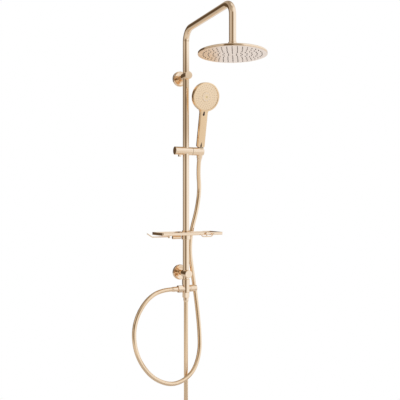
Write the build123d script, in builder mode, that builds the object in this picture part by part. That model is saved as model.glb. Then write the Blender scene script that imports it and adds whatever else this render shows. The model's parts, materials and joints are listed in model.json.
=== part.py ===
from build123d import *

import os
from math import cos, radians, sin, sqrt, tan

os.makedirs("parts", exist_ok=True)

# A wall-mounted shower column in millimetres. X runs to the right, Y towards the wall and Z up. The origin
# is the centre of the lower bracket's back face, on the wall.

# Column
TUBE_R = 11.0  # riser and arm, outside
TUBE_WALL = 1.0
TUBE_Y = -57.0  # the riser's axis, in front of the wall
BRACKET_SPAN = 694.0  # from the lower bracket's axis to the upper one's
ARM_Z = 856.5  # the arm's centreline
ARM_REACH = 338.0
ARM_BEND_R = 42.0
RUN = 0.05  # radial clearance of a running or sliding fit
EASE = 0.3  # clearance between parts that only pass each other

# Wall brackets
BASE_R, BASE_T = 22.0, 4.0
SCREW_SPACING, SCREW_HOLE_R = 31.0, 2.6
STUB_R, STUB_END = 7.0, 22.0
FLANGE_R, FLANGE_T = 27.0, 10.5
POST_R, POST_END = 10.0, 40.0
CLAMP_R, CLAMP_END = 13.5, 82.0
LINER_T = 0.9

# Rain head, measured up from its spray face
HEAD_Z = 694.0
HEAD_R = 105.0
RIM_H = 6.4
HEAD_SKIN = 1.5
BALL_R, BALL_H = 9.0, 12.0
NOZZLE_RINGS = ((14, 6), (29, 12), (44, 18), (59, 24), (74, 30), (89, 36))  # radius, count

# Diverter
DIVERTER_Z = -53.0
DIVERTER_R = 13.0
THREAD_R = 10.4  # a G1/2 male thread, drawn as a plain cylinder
THREAD_BORE_R = 10.45
NUT_AF_R = 11.8  # half the width across the flats of a hose nut
NUT_L, NUT_THREAD_L, NUT_LIP = 17.0, 11.4, 2.5

# Hoses
HOSE_R = 7.3
SUPPLY_TOP_Z, SUPPLY_BOTTOM_Z = -100.0, -458.0

# Slider and handset
SLIDER_Z = 431.0
BARREL_R = 14.5
SLIDER_LEFT, SLIDER_RIGHT = -40.0, 22.6
HOLDER_LEFT, HOLDER_RIGHT = 23.2, 66.0
GRIP_X = 55.0
GRIP_LEAN = 12.8  # degrees that the handset leans out from the wall
SPRAY_R, SPRAY_S = 50.0, 193.0  # the round head's radius, and its centre along the handle
HANDLE_HALF_W = 15.2
SHELL_BACK, SHELL_FRONT = -9.0, 8.0
SPRAY_RINGS = ((25, 18), (32, 24), (39, 30))

# Shelf
SHELF_BOTTOM, SHELF_TOP = 137.0, 147.0
SHELF_HALF_W, SHELF_REAR, SHELF_FRONT = 114.0, 36.0, 62.5  # the last two from the riser's axis
SHELF_CORNER_R = 5.0
HOSE_NOTCH = (19.5, 79.0, 17.5)  # left, right and front of the gap that the shower hose runs through
SHELF_WALL = 3.0
SHELF_FLOOR_Z, SHELF_FLOOR_T = 138.5, 2.5
COLLAR_R, COLLAR_NECK_R, COLLAR_BOTTOM, COLLAR_TOP = 15.5, 13.5, 120.0, 152.0
SHELF_KNOB_Z, SHELF_KNOB_R = 128.0, 6.2
HOOK_R, HOOK_X, HOOK_Y, HOOK_BOSS_Z = 2.0, 48.0, TUBE_Y - 69.0, 143.6
SIDE_HOOK_X, SIDE_HOOK_Y, SIDE_HOOK_Z = -81.0, TUBE_Y - 40.0, 133.0


def write(piece, name):
    """Label a finished piece and write its file."""
    piece.part.label = name
    export_step(piece.part, f"parts/{name}.step")


def upright(z, y=TUBE_Y):
    """A level plane on the riser's axis."""
    return Plane(origin=(0, y, z))


def across(x, z, y=TUBE_Y):
    """A plane that faces +X, with its y axis up."""
    return Plane(origin=(x, y, z), x_dir=(0, 1, 0), z_dir=(1, 0, 0))


def turned(plane, profile, rounds=()):
    """A solid turned about the plane's z axis from (radius, height) points; rounds are (radius, point)."""
    side = Plane(origin=plane.origin, x_dir=plane.x_dir, z_dir=-plane.y_dir)
    with BuildPart() as piece:
        with BuildSketch(side) as half:
            with BuildLine():
                Polyline(*profile, close=True)
            make_face()
            for radius, corner in rounds:
                fillet(half.vertices().sort_by_distance(corner)[0], radius)
        revolve(axis=Axis(plane.origin, plane.z_dir))
    return piece


def sleeve(plane, inner, outer, start, end):
    """A plain ring about the plane's z axis."""
    return turned(plane, [(inner, start), (outer, start), (outer, end), (inner, end)])


def hose_nut(plane):
    """A chamfered hexagon nut about the plane's z axis, its thread open at z = 0 and a lip at its far end."""
    corner = NUT_AF_R / cos(radians(30))
    with BuildPart() as nut:
        with BuildSketch(plane):
            RegularPolygon(radius=corner, side_count=6)
        extrude(amount=NUT_L)
        steps = (
            (THREAD_BORE_R, 0, NUT_THREAD_L),
            (THREAD_BORE_R + 0.3, NUT_THREAD_L, NUT_L - NUT_LIP),
            (8.1, 0, NUT_L),
        )
        for radius, start, end in steps:
            with BuildSketch(plane.offset(start)):
                Circle(radius)
            extrude(amount=end - start, mode=Mode.SUBTRACT)
        side = Plane(origin=plane.origin, x_dir=plane.x_dir, z_dir=-plane.y_dir)
        with BuildSketch(side):
            with BuildLine():
                Polyline(
                    (0, 0), (corner - 1, 0), (corner, 1), (corner, NUT_L - 1), (corner - 1, NUT_L),
                    (0, NUT_L), close=True,
                )
            make_face()
        revolve(axis=Axis(plane.origin, plane.z_dir), mode=Mode.INTERSECT)
    return nut


# Riser, arm and the joint between them, inside the upper clamp

riser_tube = sleeve(upright(0), TUBE_R - TUBE_WALL, TUBE_R, DIVERTER_Z + 9, BRACKET_SPAN - 0.1)
write(riser_tube, "riser_tube")

ARM_END_Z = HEAD_Z + 26.5
with BuildPart() as arm_tube:
    with BuildLine():
        FilletPolyline(
            (0, TUBE_Y, BRACKET_SPAN + 0.1),
            (0, TUBE_Y, ARM_Z),
            (0, TUBE_Y - ARM_REACH, ARM_Z),
            (0, TUBE_Y - ARM_REACH, ARM_END_Z),
            radius=ARM_BEND_R,
        )
    with BuildSketch(upright(BRACKET_SPAN + 0.1)):
        Circle(TUBE_R)
        Circle(TUBE_R - TUBE_WALL, mode=Mode.SUBTRACT)
    sweep()
write(arm_tube, "arm_tube")

JOINER_HALF, JOINER_BORE_R, O_RING_R = 30.0, 8.0, 9.2
joiner_grooves = (-22.0, -14.0, 14.0, 22.0)
with BuildPart() as tube_joiner:
    with BuildSketch(upright(BRACKET_SPAN - JOINER_HALF)):
        Circle(TUBE_R - TUBE_WALL - RUN)
        Circle(JOINER_BORE_R, mode=Mode.SUBTRACT)
    extrude(amount=2 * JOINER_HALF)
    for groove in joiner_grooves:
        with BuildSketch(upright(BRACKET_SPAN + groove - 1)):
            Circle(TUBE_R)
            Circle(O_RING_R, mode=Mode.SUBTRACT)
        extrude(amount=2, mode=Mode.SUBTRACT)
write(tube_joiner, "tube_joiner")

NUT_RING_Z = -29.9  # the lowest O-ring seals the riser in its nut on the diverter
with BuildPart() as riser_o_rings:
    for groove in joiner_grooves:
        with BuildSketch(upright(BRACKET_SPAN + groove - 0.9)):
            Circle(TUBE_R - TUBE_WALL)
            Circle(O_RING_R, mode=Mode.SUBTRACT)
        extrude(amount=1.8)
    with BuildSketch(upright(NUT_RING_Z)):
        Circle(TUBE_R + 1.35)
        Circle(TUBE_R, mode=Mode.SUBTRACT)
    extrude(amount=2.8)
write(riser_o_rings, "riser_o_rings")

# Wall brackets: a base screwed to the wall, a flange over it, a post and a clamp round the riser

GRUB_AT = 14.0  # distance of the post's grub screw from the wall


def wall_plane(z):
    """A plane on the wall whose z axis points out of the wall, with its y axis up."""
    return Plane(origin=(0, 0, z), x_dir=(1, 0, 0), z_dir=(0, -1, 0))


def wall_base(z):
    """The disc that is screwed to the wall, with the stub that the post slides on."""
    wall = wall_plane(z)
    with BuildPart() as base:
        with BuildSketch(wall):
            Circle(BASE_R)
            with GridLocations(SCREW_SPACING, 1, 2, 1):
                Circle(SCREW_HOLE_R, mode=Mode.SUBTRACT)
        extrude(amount=BASE_T)
        with BuildSketch(wall):
            Circle(STUB_R)
        extrude(amount=STUB_END)
        chamfer(base.faces().sort_by(Axis.Y)[0].edges(), 1)
    return base


BRACKETS = {"lower": 0, "upper": BRACKET_SPAN}
for side, z in BRACKETS.items():
    write(wall_base(z), f"{side}_wall_base")

with BuildPart() as riser_clamps:
    for z in BRACKETS.values():
        with BuildSketch(wall_plane(z).offset(POST_END)):
            Circle(CLAMP_R)
        extrude(amount=CLAMP_END - POST_END)
    fillet(riser_clamps.edges().group_by(Axis.Y)[0], 1.2)
    chamfer(riser_clamps.edges().group_by(Axis.Y)[-1], 0.8)
    for z in BRACKETS.values():
        with BuildSketch(wall_plane(z).offset(POST_END)):
            Circle(5 + RUN)
        extrude(amount=4.1, mode=Mode.SUBTRACT)
        with BuildSketch(upright(z)):
            Circle(TUBE_R + RUN)
        extrude(amount=CLAMP_R + 1, both=True, mode=Mode.SUBTRACT)
        with BuildSketch(upright(z)):
            Circle(TUBE_R + LINER_T)
        extrude(amount=5.5, both=True, mode=Mode.SUBTRACT)
write(riser_clamps, "riser_clamps")

flange_inside = FLANGE_T - 3.9
flange_profile = [
    (BASE_R + 3.2, EASE), (FLANGE_R, EASE), (FLANGE_R, FLANGE_T - 2), (FLANGE_R - 2.5, FLANGE_T),
    (FLANGE_R - 5, FLANGE_T), (POST_R + 3, FLANGE_T - 2.2), (POST_R + RUN, FLANGE_T - 2.2),
    (POST_R + RUN, flange_inside), (BASE_R + 3.2, flange_inside),
]
flange_rounds = [
    (1.6, (FLANGE_R, FLANGE_T - 2)), (1.2, (FLANGE_R - 2.5, FLANGE_T)), (1, (FLANGE_R - 5, FLANGE_T)),
]
with BuildPart() as wall_flanges:
    for z in BRACKETS.values():
        add(turned(wall_plane(z), flange_profile, flange_rounds).part)
write(wall_flanges, "wall_flanges")

post_profile = [
    (STUB_R + RUN, BASE_T + 1), (POST_R, BASE_T + 1), (POST_R, POST_END), (5, POST_END),
    (5, POST_END + 4), (0, POST_END + 4), (0, STUB_END + 0.5), (STUB_R + RUN, STUB_END + 0.5),
]
with BuildPart() as bracket_posts:
    for z in BRACKETS.values():
        add(turned(wall_plane(z), post_profile).part)
        with BuildSketch(Plane(origin=(0, -GRUB_AT, z), x_dir=(1, 0, 0), z_dir=(0, 0, -1))):
            Circle(2)
        extrude(amount=POST_R + 1, mode=Mode.SUBTRACT)
write(bracket_posts, "bracket_posts")

with BuildPart() as clamp_liners:
    for z in BRACKETS.values():
        with BuildSketch(upright(z)):
            Circle(TUBE_R + LINER_T)
            Circle(TUBE_R, mode=Mode.SUBTRACT)
        extrude(amount=5.4, both=True)
write(clamp_liners, "clamp_liners")

with BuildPart() as post_grub_screws:
    for z in BRACKETS.values():
        below = Plane(origin=(0, -GRUB_AT, z - STUB_R - 0.1), x_dir=(1, 0, 0), z_dir=(0, 0, -1))
        with BuildSketch(below):
            Circle(2)
        extrude(amount=2.6)
        with BuildSketch(below.offset(1.2)):
            RegularPolygon(radius=1.1, side_count=6)
        extrude(amount=1.5, mode=Mode.SUBTRACT)
write(post_grub_screws, "post_grub_screws")

# Rain head, hung on the arm by a ball joint

drop = Plane(origin=(0, TUBE_Y - ARM_REACH, HEAD_Z))
SEAT_R = BALL_R + 1.65  # the spherical socket


def on_ball(radius, height):
    """A (radius, height) point on a sphere about the ball's centre."""
    return (sqrt(radius**2 - (height - BALL_H) ** 2), height)


def head_side():
    """The plane of the rain head's half section."""
    return Plane(origin=drop.origin, x_dir=(1, 0, 0), z_dir=(0, -1, 0))


head_axis = Axis(drop.origin, (0, 0, 1))

with BuildPart() as ball_connector:
    with BuildSketch(head_side()):
        with BuildLine():
            neck = on_ball(BALL_R, BALL_H + 7.2)
            foot = on_ball(BALL_R, BALL_H - 8)
            Polyline(
                foot, (3.4, foot[1]), (3.4, 26), (TUBE_R + RUN, 26), (TUBE_R + RUN, 38), (13, 38), (13, 23.5),
                (neck[0], 22), neck,
            )
            ThreePointArc(neck, on_ball(BALL_R, BALL_H), foot)
        make_face()
    revolve(axis=head_axis)
    chamfer(ball_connector.faces().sort_by(Axis.Z)[-1].outer_wire().edges(), 1)
write(ball_connector, "ball_connector")

with BuildPart() as ball_seat:
    with BuildSketch(head_side()):
        with BuildLine():
            inner_low, inner_top = on_ball(BALL_R + RUN, BALL_H - 6), on_ball(BALL_R + RUN, BALL_H - 2.3)
            outer_low, outer_top = on_ball(SEAT_R - RUN, BALL_H - 6), on_ball(SEAT_R - RUN, BALL_H - 2.3)
            Line(inner_top, outer_top)
            ThreePointArc(outer_top, on_ball(SEAT_R - RUN, BALL_H - 4), outer_low)
            Line(outer_low, inner_low)
            ThreePointArc(inner_low, on_ball(BALL_R + RUN, BALL_H - 4), inner_top)
        make_face()
    revolve(axis=head_axis)
write(ball_seat, "ball_seat")

with BuildPart() as ball_collar:
    with BuildSketch(head_side()):
        with BuildLine():
            low, high = on_ball(BALL_R + 0.25, BALL_H + 0.3), on_ball(BALL_R + 0.25, BALL_H + 5.2)
            Polyline(
                high, (high[0] + 1, BALL_H + 6.2), (15.5, BALL_H + 6.2), (17, BALL_H + 4.7),
                (17, BALL_H - 2.8), (14.55, BALL_H - 2.8), (14.55, BALL_H + 0.3), low,
            )
            ThreePointArc(low, on_ball(BALL_R + 0.25, BALL_H + 3), high)
        make_face()
    revolve(axis=head_axis)
write(ball_collar, "ball_collar")

with BuildPart() as rain_head_shell:
    with BuildSketch(head_side()):
        with BuildLine():
            water_way, socket_top = on_ball(SEAT_R, BALL_H - 8), on_ball(SEAT_R, BALL_H)
            shell_inside = HEAD_R - HEAD_SKIN
            Polyline(
                socket_top, (14.5, BALL_H), (14.5, 8.9), (HEAD_R - 2.2, RIM_H + 1.4), (HEAD_R, RIM_H),
                (HEAD_R, 0), (shell_inside, 0), (shell_inside, RIM_H - 0.6), (16, 7.2), (16, 4), water_way,
            )
            ThreePointArc(water_way, on_ball(SEAT_R, BALL_H - 4), socket_top)
        make_face()
    revolve(axis=head_axis)
write(rain_head_shell, "rain_head_shell")

rain_gasket = sleeve(drop, HEAD_R - 5, shell_inside, HEAD_SKIN, RIM_H - 0.8)
write(rain_gasket, "rain_gasket")

MAT_TOP = 2.7
with BuildPart() as rain_face_plate:
    with BuildSketch(drop):
        Circle(shell_inside - RUN)
        for ring, count in NOZZLE_RINGS:
            with PolarLocations(ring, count):
                Circle(1.75, mode=Mode.SUBTRACT)
    extrude(amount=HEAD_SKIN)
write(rain_face_plate, "rain_face_plate")

with BuildPart() as rain_nozzle_mat:
    with BuildSketch(drop.offset(HEAD_SKIN)):
        Circle(HEAD_R - 5.1)
    extrude(amount=MAT_TOP - HEAD_SKIN)
    with BuildSketch(drop.offset(-1.6)):
        for ring, count in NOZZLE_RINGS:
            with PolarLocations(ring, count):
                Circle(1.6)
    extrude(amount=1.6 + MAT_TOP)
write(rain_nozzle_mat, "rain_nozzle_mat")

# Diverter under the lower bracket: the riser drops in from above, the supply comes up from below, the
# hose leaves to the left and the knob turns on the right

COLLAR_NUT_TOP, BODY_TOP, BODY_BOTTOM = -19.5, -37.0, -66.0
column = upright(0)
riser_nut = turned(
    column,
    [
        (TUBE_R + RUN, BODY_TOP), (13.75, BODY_TOP), (13.75, COLLAR_NUT_TOP - 1.2), (12.6, COLLAR_NUT_TOP),
        (TUBE_R + RUN, COLLAR_NUT_TOP), (TUBE_R + RUN, NUT_RING_Z + 2.9), (TUBE_R + 1.4, NUT_RING_Z + 2.9),
        (TUBE_R + 1.4, NUT_RING_Z - 0.1), (TUBE_R + RUN, NUT_RING_Z - 0.1),
    ],
)
write(riser_nut, "riser_nut")

CARTRIDGE_R, CARTRIDGE_START, CARTRIDGE_END = 7.4, -7.0, 13.0
diverter_axis = across(0, DIVERTER_Z)
with BuildPart() as diverter_body:
    with BuildSketch(upright(BODY_BOTTOM)):
        Circle(DIVERTER_R)
    extrude(amount=BODY_TOP - BODY_BOTTOM)
    fillet(diverter_body.edges().group_by(Axis.Z)[0], 1)
    with BuildSketch(upright(BODY_BOTTOM - 12)):
        Circle(THREAD_R)
    extrude(amount=12)
    with BuildSketch(diverter_axis):
        Circle(THREAD_R)
    extrude(amount=-26)
    with BuildSketch(diverter_axis):
        Circle(11.2)
    extrude(amount=14)
    with BuildSketch(upright(DIVERTER_Z + 9)):
        Circle(TUBE_R + RUN)
    extrude(amount=20, mode=Mode.SUBTRACT)
    with BuildSketch(upright(BODY_BOTTOM - 12)):
        Circle(6)
    extrude(amount=DIVERTER_Z + 10 - BODY_BOTTOM + 12, mode=Mode.SUBTRACT)
    with BuildSketch(across(-26, DIVERTER_Z)):
        Circle(5.5)
    extrude(amount=26, mode=Mode.SUBTRACT)
    with BuildSketch(across(CARTRIDGE_START, DIVERTER_Z)):
        Circle(CARTRIDGE_R + RUN)
    extrude(amount=14 - CARTRIDGE_START, mode=Mode.SUBTRACT)
write(diverter_body, "diverter_body")

SPINDLE_R, SPINDLE_END = 3.0, 34.0
with BuildPart() as diverter_cartridge:
    with BuildSketch(across(CARTRIDGE_START, DIVERTER_Z)):
        Circle(CARTRIDGE_R)
    extrude(amount=CARTRIDGE_END - CARTRIDGE_START)
    with BuildSketch(across(5, DIVERTER_Z)):
        Circle(SPINDLE_R + RUN)
    extrude(amount=CARTRIDGE_END - 5, mode=Mode.SUBTRACT)
    with BuildSketch(upright(DIVERTER_Z - 10)):
        Circle(3.5)
    extrude(amount=20, mode=Mode.SUBTRACT)
write(diverter_cartridge, "diverter_cartridge")

write(sleeve(diverter_axis, 1.6, SPINDLE_R, 5.2, SPINDLE_END), "diverter_spindle")

KNOB_START, KNOB_END = 14.4, 40.0
diverter_knob = turned(
    diverter_axis,
    [
        (SPINDLE_R, KNOB_START), (12, KNOB_START), (12, KNOB_START + 13), (10.6, KNOB_START + 15),
        (10.6, KNOB_END), (7.6, KNOB_END), (7.6, KNOB_END - 2), (4.5, KNOB_END - 2), (4.5, SPINDLE_END),
        (SPINDLE_R, SPINDLE_END),
    ],
    [(0.8, (12, KNOB_START)), (0.8, (10.6, KNOB_END))],
)
write(diverter_knob, "diverter_knob")
write(
    turned(diverter_axis, [(0, 22), (1.6, 22), (1.6, SPINDLE_END), (4, SPINDLE_END), (4, 37), (0, 37)]),
    "knob_screw",
)
write(sleeve(diverter_axis, 0, 7.55, KNOB_END - 2, KNOB_END - 0.3), "knob_cap")

# Hose nuts, ferrules and washers, each drawn from the mouth of its nut


def hose_ferrule(plane, end):
    """The turned sleeve of a hose, from its flange inside the nut to the hose's cut end."""
    return turned(
        plane,
        [(5, 13.5), (10.2, 13.5), (10.2, 14.4), (8, 14.4), (8, 17.6), (8.9, 18.4), (8.9, end - 6),
         (HOSE_R + 0.5, end), (5, end)],
        [(2, (8.9, end - 6))],
    )


OUTLET_FERRULE_END, SUPPLY_FERRULE_END = 40.0, 33.5
outlet = Plane(origin=(-14.5, TUBE_Y, DIVERTER_Z), x_dir=(0, 1, 0), z_dir=(-1, 0, 0))
inlet = Plane(origin=(0, TUBE_Y, BODY_BOTTOM - 0.5), x_dir=(1, 0, 0), z_dir=(0, 0, -1))
tail = Plane(origin=(0, TUBE_Y, SUPPLY_BOTTOM_Z - SUPPLY_FERRULE_END), x_dir=(1, 0, 0), z_dir=(0, 0, 1))

write(hose_nut(outlet), "shower_hose_nut")
write(hose_ferrule(outlet, OUTLET_FERRULE_END), "shower_hose_ferrule")

with BuildPart() as supply_nuts:
    add(hose_nut(inlet).part)
    add(hose_nut(tail).part)
write(supply_nuts, "supply_nuts")

with BuildPart() as supply_ferrules:
    add(hose_ferrule(inlet, SUPPLY_FERRULE_END).part)
    add(hose_ferrule(tail, SUPPLY_FERRULE_END).part)
write(supply_ferrules, "supply_ferrules")

with BuildPart() as hose_washers:
    for plane in (outlet, inlet, tail):
        with BuildSketch(plane.offset(NUT_THREAD_L + 0.1)):
            Circle(9.8)
            Circle(5.5, mode=Mode.SUBTRACT)
        extrude(amount=2)
write(hose_washers, "hose_washers")

# Slider: a barrel across the riser, with a nylon liner, a sprung brake shoe and a release button below

slider_axis = across(0, SLIDER_Z)
LINER_HALF = 4.9
slider_liner = sleeve(upright(SLIDER_Z), TUBE_R + RUN, TUBE_R + 1.35, -LINER_HALF, LINER_HALF)
write(slider_liner, "slider_liner")

BUTTON_X, BUTTON_W, BUTTON_L = -24.0, 8.0, 10.0
PIN_R, PIN_START, PIN_END = 4.0, 13.5, 36.0
with BuildPart() as slider_body:
    with BuildSketch(across(SLIDER_LEFT, SLIDER_Z)):
        Circle(BARREL_R)
    extrude(amount=SLIDER_RIGHT - SLIDER_LEFT)
    chamfer(slider_body.edges().group_by(Axis.X)[-1], 0.6)
    with BuildSketch(upright(SLIDER_Z)):
        Circle(TUBE_R + EASE)
    extrude(amount=BARREL_R + 1, both=True, mode=Mode.SUBTRACT)
    with BuildSketch(upright(SLIDER_Z)):
        Circle(TUBE_R + 1.4)
    extrude(amount=LINER_HALF + 0.1, both=True, mode=Mode.SUBTRACT)
    with BuildSketch(across(SLIDER_LEFT, SLIDER_Z)):
        Circle(8)
    extrude(amount=-SLIDER_LEFT - TUBE_R, mode=Mode.SUBTRACT)
    with BuildSketch(Plane(origin=(BUTTON_X, TUBE_Y, SLIDER_Z - BARREL_R - 1))):
        Rectangle(BUTTON_W + 2 * EASE, BUTTON_L + 2 * EASE)
    extrude(amount=12, mode=Mode.SUBTRACT)
    with BuildSketch(across(PIN_START, SLIDER_Z)):
        Circle(PIN_R)
    extrude(amount=SLIDER_RIGHT - PIN_START, mode=Mode.SUBTRACT)
write(slider_body, "slider_body")

with BuildPart() as slider_end_cap:
    with BuildSketch(across(SLIDER_LEFT, SLIDER_Z)):
        Circle(BARREL_R)
    extrude(amount=-3.5)
    fillet(slider_end_cap.edges().group_by(Axis.X)[0], 1.2)
    with BuildSketch(across(SLIDER_LEFT, SLIDER_Z)):
        Circle(7.9)
    extrude(amount=3)
write(slider_end_cap, "slider_end_cap")

BRAKE_TRAVEL = 0.6
STEM_W, STEM_L = 3.0, 6.0
SHOE_START, SHOE_END = -28.5, -11.8
with BuildPart() as brake_shoe:
    with BuildSketch(across(SHOE_START, SLIDER_Z)):
        Circle(7.7)
    extrude(amount=SHOE_END - SHOE_START)
    with BuildSketch(upright(SLIDER_Z)):
        Circle(TUBE_R + 1.45)
    extrude(amount=10, both=True, mode=Mode.SUBTRACT)
    with BuildSketch(Plane(origin=(BUTTON_X, TUBE_Y, SLIDER_Z - 8))):
        Rectangle(STEM_W + 3, STEM_L + 1)
    extrude(amount=9, mode=Mode.SUBTRACT)
    with BuildSketch(across(SHOE_START, SLIDER_Z)):
        Circle(4.6)
    extrude(amount=1.5, mode=Mode.SUBTRACT)
write(brake_shoe, "brake_shoe")

SPRING_START, SPRING_END, SPRING_WIRE_R, SPRING_R = -36.5, -27.4, 0.4, 3.6
with BuildPart() as brake_spring:
    with BuildLine():
        coil = Helix(
            pitch=1.8,
            height=SPRING_END - SPRING_START - 2 * SPRING_WIRE_R,
            radius=SPRING_R,
            center=(SPRING_START + SPRING_WIRE_R, TUBE_Y, SLIDER_Z),
            direction=(1, 0, 0),
        )
    with BuildSketch(Plane(origin=coil @ 0, z_dir=coil % 0)):
        Circle(SPRING_WIRE_R)
    sweep(is_frenet=True)
write(brake_spring, "brake_spring")

BUTTON_TRAVEL = 2.0
with BuildPart() as release_button:
    with BuildSketch(Plane(origin=(BUTTON_X, TUBE_Y, SLIDER_Z - BARREL_R - 6))):
        Rectangle(BUTTON_W, BUTTON_L)
    extrude(amount=9.5)
    fillet(release_button.edges().group_by(Axis.Z)[0], 1.2)
    with BuildSketch(Plane(origin=(BUTTON_X, TUBE_Y, SLIDER_Z - BARREL_R + 3.5))):
        Rectangle(STEM_W, STEM_L)
    extrude(amount=7)
write(release_button, "release_button")

write(sleeve(slider_axis, 0, PIN_R, PIN_START, PIN_END), "holder_pivot")
write(sleeve(slider_axis, PIN_R + RUN, 10, SLIDER_RIGHT, HOLDER_LEFT), "pivot_washer")

# Handset holder: the barrel's turning end, with a tapered seat that is open to the right

lean = radians(GRIP_LEAN)
grip = Plane(origin=(GRIP_X, TUBE_Y, SLIDER_Z), x_dir=(1, 0, 0), z_dir=(0, -sin(lean), cos(lean)))
SEAT_LOW, SEAT_HIGH = (9.8, -24.0), (12.3, 14.0)  # radius and height of the hose's tapered nut
SEAT_GAP = 0.15
taper = (SEAT_HIGH[0] - SEAT_LOW[0]) / (SEAT_HIGH[1] - SEAT_LOW[1])
SLOT_W = 16.0


def seat_radius(height):
    """The taper's radius at a height along the handset."""
    return SEAT_LOW[0] + taper * (height - SEAT_LOW[1])


with BuildPart() as handset_holder:
    with BuildSketch(across(HOLDER_LEFT, SLIDER_Z)):
        Circle(BARREL_R)
    extrude(amount=HOLDER_RIGHT - HOLDER_LEFT)
    chamfer(handset_holder.edges().group_by(Axis.X)[0], 0.6)
    fillet(handset_holder.edges().group_by(Axis.X)[-1], 1)
    with BuildSketch(grip.offset(-20)):
        Circle(seat_radius(-20) + SEAT_GAP)
    with BuildSketch(grip.offset(20)):
        Circle(seat_radius(20) + SEAT_GAP)
    loft(mode=Mode.SUBTRACT)
    with BuildSketch(grip.offset(-20)):
        with Locations((15, 0)):
            Rectangle(30, SLOT_W)
    extrude(amount=40, mode=Mode.SUBTRACT)
    with BuildSketch(across(HOLDER_LEFT, SLIDER_Z)):
        Circle(PIN_R + RUN)
    extrude(amount=PIN_END + 0.4 - HOLDER_LEFT, mode=Mode.SUBTRACT)
write(handset_holder, "handset_holder")

# Handset, drawn along the grip: its nut and ferrule below, the flat handle, then the round head

cone_nut = turned(
    grip,
    [SEAT_LOW, SEAT_HIGH, (THREAD_BORE_R, 14), (THREAD_BORE_R, 2), (7.5, 2), (7.5, -24)],
    [(0.8, SEAT_LOW)],
)
write(cone_nut, "cone_nut")
FERRULE_END = -32.0
cone_ferrule = turned(
    grip, [(5, FERRULE_END), (8.1, FERRULE_END), (8.6, -24.6), (7.4, -24.6), (7.4, 1.9), (5, 1.9)]
)
write(cone_ferrule, "cone_ferrule")
write(sleeve(grip, 5.5, 9.8, 2, 4), "cone_washer")
handset_inlet = turned(
    grip, [(5, 4), (THREAD_R, 4), (THREAD_R, 15.9), (6.5, 15.9), (6.5, 32), (5, 32)]
)
write(handset_inlet, "handset_inlet")

front = Plane(origin=grip.origin, x_dir=(1, 0, 0), z_dir=-grip.y_dir)
SHELL_START = 16.0
with BuildPart() as handset_shell:
    with BuildSketch(front.offset(SHELL_BACK)) as outline:
        with Locations((0, (SHELL_START + SPRAY_S) / 2)):
            Rectangle(2 * HANDLE_HALF_W, SPRAY_S - SHELL_START)
        with Locations((0, SPRAY_S)):
            Circle(SPRAY_R)
        neck_corners = outline.vertices().sort_by(Axis.Y)[2:4]
        fillet(neck_corners, 14)
    extrude(amount=SHELL_FRONT - SHELL_BACK)
    back_face = handset_shell.faces().sort_by(Axis(grip.origin, grip.y_dir))[-1]
    fillet(back_face.edges(), 5)
    with BuildSketch(front.offset(SHELL_FRONT)):
        with Locations((0, SPRAY_S)):
            Circle(SPRAY_R - 2.5)
    extrude(amount=SHELL_BACK + 2.5 - SHELL_FRONT, mode=Mode.SUBTRACT)
    with BuildSketch(grip.offset(SHELL_START)):
        Circle(5)
    extrude(amount=SPRAY_S - SPRAY_R + 5 - SHELL_START, mode=Mode.SUBTRACT)
    with BuildSketch(grip.offset(SHELL_START)):
        Circle(6.5)
    extrude(amount=16.1, mode=Mode.SUBTRACT)
write(handset_shell, "handset_shell")

spray = front.shift_origin(front.from_local_coords((0, SPRAY_S, 0)))
write(sleeve(spray, 4, 45, -4, -1), "flow_plate")
handset_bezel = turned(
    spray,
    [(45.3, 0), (47.2, 0), (47.2, 8.2), (SPRAY_R, 8.2), (SPRAY_R, 10), (48.4, 11.5), (44.6, 11.5),
     (44.6, 9.7), (45.3, 9)],
    [(1, (48.4, 11.5))],
)
write(handset_bezel, "handset_bezel")

HUB_R = 17.5
with BuildPart() as handset_face:
    with BuildSketch(spray.offset(7)):
        Circle(44.4)
        Circle(HUB_R + 0.1, mode=Mode.SUBTRACT)
        for ring, count in SPRAY_RINGS:
            with PolarLocations(ring, count):
                Circle(0.95, mode=Mode.SUBTRACT)
    extrude(amount=2.5)
write(handset_face, "handset_face")

with BuildPart() as handset_nozzle_mat:
    with BuildSketch(spray.offset(5)):
        Circle(44)
        Circle(HUB_R + 0.1, mode=Mode.SUBTRACT)
    extrude(amount=2)
    with BuildSketch(spray.offset(5)):
        for ring, count in SPRAY_RINGS:
            with PolarLocations(ring, count):
                Circle(0.85)
    extrude(amount=5.1)
write(handset_nozzle_mat, "handset_nozzle_mat")

with BuildPart() as spray_hub:
    with BuildSketch(spray.offset(3)):
        Circle(HUB_R)
    extrude(amount=7.5)
    chamfer(spray_hub.faces().sort_by(Axis(grip.origin, grip.y_dir))[0].edges(), 0.8)
    with BuildSketch(spray.offset(10.5)):
        with PolarLocations(13.5, 10):
            Circle(1.5)
    extrude(amount=-3, mode=Mode.SUBTRACT)
    with BuildSketch(spray.offset(3)):
        Circle(2)
    extrude(amount=7.5, mode=Mode.SUBTRACT)
    with BuildSketch(spray.offset(10.5)):
        Circle(3.6)
    extrude(amount=-2.6, mode=Mode.SUBTRACT)
write(spray_hub, "spray_hub")
write(turned(spray, [(0, -1), (1.9, -1), (1.9, 7.9), (3.4, 7.9), (3.4, 9.9), (0, 9.9)]), "hub_screw")

# Shelf: a tray on a collar that slides on the riser, its thumb screw, a double hook and a side hook


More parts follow.
